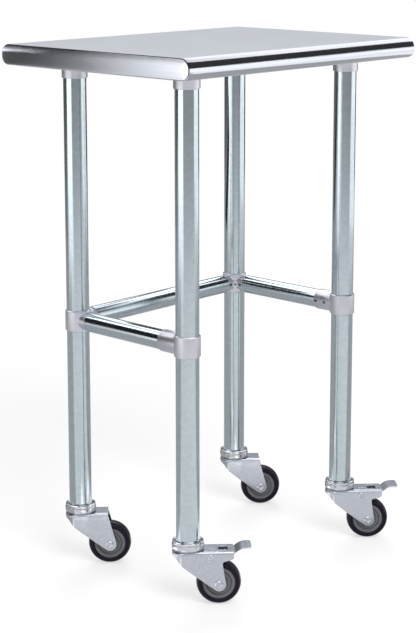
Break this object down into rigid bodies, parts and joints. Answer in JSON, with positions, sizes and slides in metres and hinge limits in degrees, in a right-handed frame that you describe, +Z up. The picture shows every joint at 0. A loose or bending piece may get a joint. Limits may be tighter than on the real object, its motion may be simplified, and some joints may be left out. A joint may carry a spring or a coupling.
{
  "type": "work table",
  "caption": "Open-base kitchen work table: rolled-edge stainless top on tube legs with a sliding three-sided brace and swivel casters, the front ones braked.",
  "frame": {"origin": "on the floor, under the middle of the top", "axes": "+Z up; +X along the top's length; -Y towards the open front, the long side without a brace bar"},
  "size_m": [0.6096, 0.4572, 0.97],
  "materials": {
    "stainless": "fine brushed stainless sheet",
    "galvanised": "galvanised tube, satin with faint streaks",
    "cast_aluminium": "die-cast, fine matte grain",
    "chrome": "bright plated",
    "zinc": "zinc plated stamping, satin",
    "plug": "moulded, matte",
    "polyurethane": "cast polyurethane, semi-gloss",
    "core": "moulded, satin"
  },
  "bodies": {
    "table": {"tabletop": "stainless", "channel_front": "galvanised", "channel_rear": "galvanised", "leg_socket_front_left": "cast_aluminium", "leg_socket_front_right": "cast_aluminium", "leg_socket_rear_left": "cast_aluminium", "leg_socket_rear_right": "cast_aluminium", "leg_front_left": "galvanised", "leg_front_right": "galvanised", "leg_rear_left": "galvanised", "leg_rear_right": "galvanised", "leg_insert_front_left": "plug", "leg_insert_front_right": "plug", "leg_insert_rear_left": "plug", "leg_insert_rear_right": "plug", "caster_cup_front_left": "chrome", "caster_cup_front_right": "chrome", "caster_cup_rear_left": "chrome", "caster_cup_rear_right": "chrome", "caster_stem_front_left": "zinc", "caster_stem_front_right": "zinc", "caster_stem_rear_left": "zinc", "caster_stem_rear_right": "zinc", "ball_race_front_left": "zinc", "ball_race_front_right": "zinc", "ball_race_rear_left": "zinc", "ball_race_rear_right": "zinc"},
    "brace": {"brace_bar_left": "galvanised", "brace_bar_right": "galvanised", "brace_bar_rear": "galvanised", "brace_corner_rear_left": "cast_aluminium", "brace_corner_rear_right": "cast_aluminium", "brace_end_front_left": "cast_aluminium", "brace_end_front_right": "cast_aluminium"},
    "caster_front_left": {"fork_front_left": "zinc", "axle_rivet_front_left": "zinc", "brake_pivot_front_left": "zinc"},
    "caster_front_right": {"fork_front_right": "zinc", "axle_rivet_front_right": "zinc", "brake_pivot_front_right": "zinc"},
    "caster_rear_left": {"fork_rear_left": "zinc", "axle_rivet_rear_left": "zinc"},
    "caster_rear_right": {"fork_rear_right": "zinc", "axle_rivet_rear_right": "zinc"},
    "wheel_front_left": {"tyre_front_left": "polyurethane", "wheel_core_front_left": "core", "wheel_bush_front_left": "zinc"},
    "wheel_front_right": {"tyre_front_right": "polyurethane", "wheel_core_front_right": "core", "wheel_bush_front_right": "zinc"},
    "wheel_rear_left": {"tyre_rear_left": "polyurethane", "wheel_core_rear_left": "core", "wheel_bush_rear_left": "zinc"},
    "wheel_rear_right": {"tyre_rear_right": "polyurethane", "wheel_core_rear_right": "core", "wheel_bush_rear_right": "zinc"},
    "pedal_front_left": {"brake_pedal_front_left": "zinc"},
    "pedal_front_right": {"brake_pedal_front_right": "zinc"}
  },
  "joints": [
    {"name": "brace_height", "type": "slide", "parent": "table", "child": "brace", "axis": [0, 0, 1], "range_m": [-0.32, 0.415]},
    {"name": "swivel_front_left", "type": "hinge", "parent": "table", "child": "caster_front_left", "pos_m": [-0.2138, -0.1376, 0.10016], "axis": [0, 0, 1], "continuous": true},
    {"name": "swivel_front_right", "type": "hinge", "parent": "table", "child": "caster_front_right", "pos_m": [0.2138, -0.1376, 0.10016], "axis": [0, 0, 1], "continuous": true},
    {"name": "swivel_rear_left", "type": "hinge", "parent": "table", "child": "caster_rear_left", "pos_m": [-0.2138, 0.1376, 0.10016], "axis": [0, 0, 1], "continuous": true},
    {"name": "swivel_rear_right", "type": "hinge", "parent": "table", "child": "caster_rear_right", "pos_m": [0.2138, 0.1376, 0.10016], "axis": [0, 0, 1], "continuous": true},
    {"name": "wheel_spin_front_left", "type": "hinge", "parent": "caster_front_left", "child": "wheel_front_left", "pos_m": [-0.17562, -0.17578, 0.03966], "axis": [0.7071, 0.7071, 0], "continuous": true},
    {"name": "wheel_spin_front_right", "type": "hinge", "parent": "caster_front_right", "child": "wheel_front_right", "pos_m": [0.25198, -0.17578, 0.03966], "axis": [0.7071, 0.7071, 0], "continuous": true},
    {"name": "wheel_spin_rear_left", "type": "hinge", "parent": "caster_rear_left", "child": "wheel_rear_left", "pos_m": [-0.17562, 0.09942, 0.03966], "axis": [0.7071, 0.7071, 0], "continuous": true},
    {"name": "wheel_spin_rear_right", "type": "hinge", "parent": "caster_rear_right", "child": "wheel_rear_right", "pos_m": [0.25198, 0.09942, 0.03966], "axis": [0.7071, 0.7071, 0], "continuous": true},
    {"name": "brake_front_left", "type": "hinge", "parent": "caster_front_left", "child": "pedal_front_left", "pos_m": [-0.18552, -0.16588, 0.09046], "axis": [0.7071, 0.7071, 0], "range_deg": [0, 11]},
    {"name": "brake_front_right", "type": "hinge", "parent": "caster_front_right", "child": "pedal_front_right", "pos_m": [0.24208, -0.16588, 0.09046], "axis": [0.7071, 0.7071, 0], "range_deg": [0, 11]}
  ]
}
